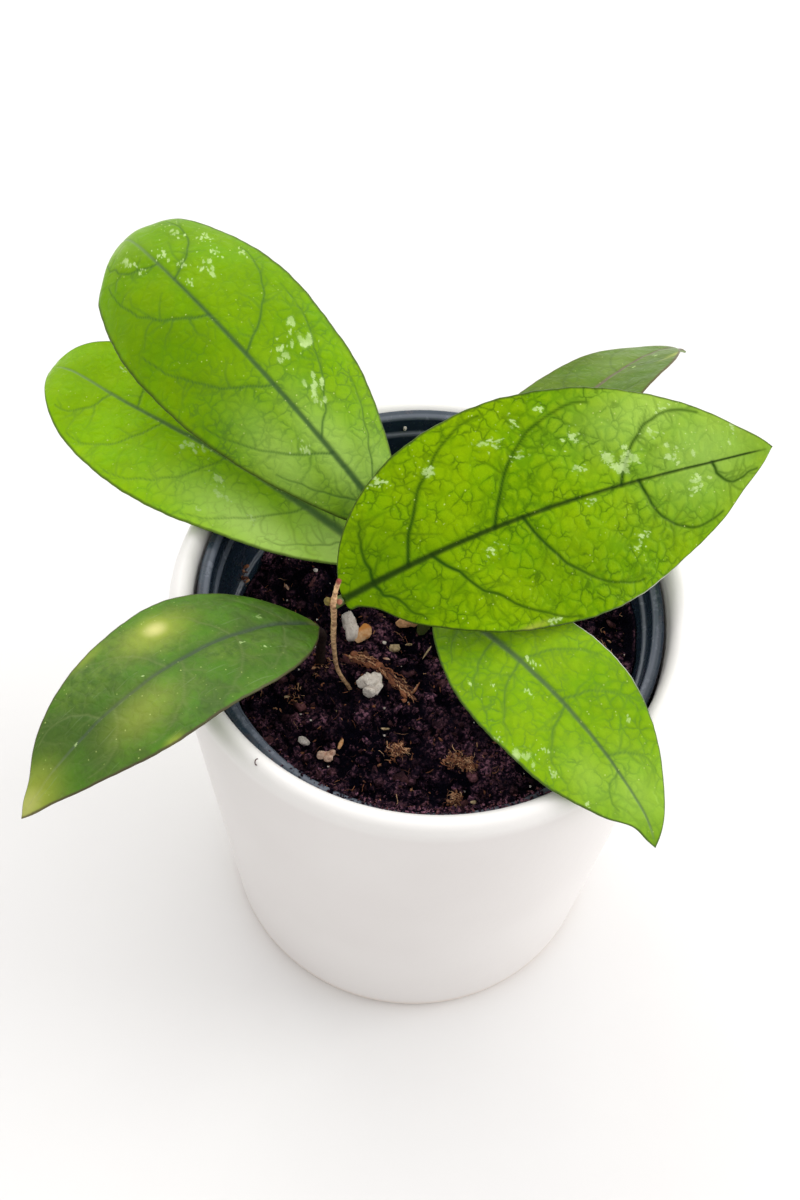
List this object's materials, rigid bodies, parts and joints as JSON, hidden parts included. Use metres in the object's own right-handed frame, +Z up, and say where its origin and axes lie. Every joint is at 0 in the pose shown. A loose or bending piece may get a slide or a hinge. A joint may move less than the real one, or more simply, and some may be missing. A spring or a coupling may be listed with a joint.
{
  "type": "potted hoya plant",
  "caption": "Young hoya with broad glossy leaves on short stems, rooted in soil in a dark plastic nursery pot that stands inside a white glazed tapered cover pot.",
  "frame": {"origin": "centre of the cover pot's flat underside, on the surface that it stands on", "axes": "+Z up along the cover pot's axis; -Y towards the viewer of the picture; +X towards the large right leaf's tip"},
  "size_m": [0.1705, 0.1506, 0.1636],
  "materials": {
    "white_glaze": "ivory white glaze with a soft satin sheen",
    "dark_plastic": "thin blue-black moulded plastic, dusty and lightly scuffed",
    "soil": "moist dark brown peat and coir, matte",
    "green_stem": "olive green skin with brown lenticels, satin",
    "dry_stem": "thin brown bark with a reddish cut end, matte",
    "leaf_lime": "glossy lime green skin with darker net veins, silvery flecks and a thin dark margin",
    "leaf_dark": "glossy dark green skin with pale yellow patches and a purple-brown margin",
    "leaf_dull": "glossy olive green skin with darker net veins",
    "perlite": "rough porous white granules",
    "bark_chip": "rough tan and orange bark chips",
    "bark": "fibrous red-brown bark"
  },
  "bodies": {
    "root": {"cover_pot": "white_glaze", "nursery_pot": "dark_plastic", "soil": "soil", "stem": "green_stem", "shoot": "dry_stem", "leaf_upper_left": "leaf_lime", "leaf_left": "leaf_lime", "leaf_right": "leaf_lime", "leaf_lower_right": "leaf_lime", "leaf_lower_left": "leaf_dark", "leaf_back_right": "leaf_dull", "perlite_large": "perlite", "perlite_tall": "perlite", "perlite_small": "perlite", "chip_orange": "bark_chip", "chip_tan": "bark_chip", "chip_beige": "bark_chip", "chip_pale": "bark_chip", "bark_strip": "bark"}
  },
  "joints": []
}
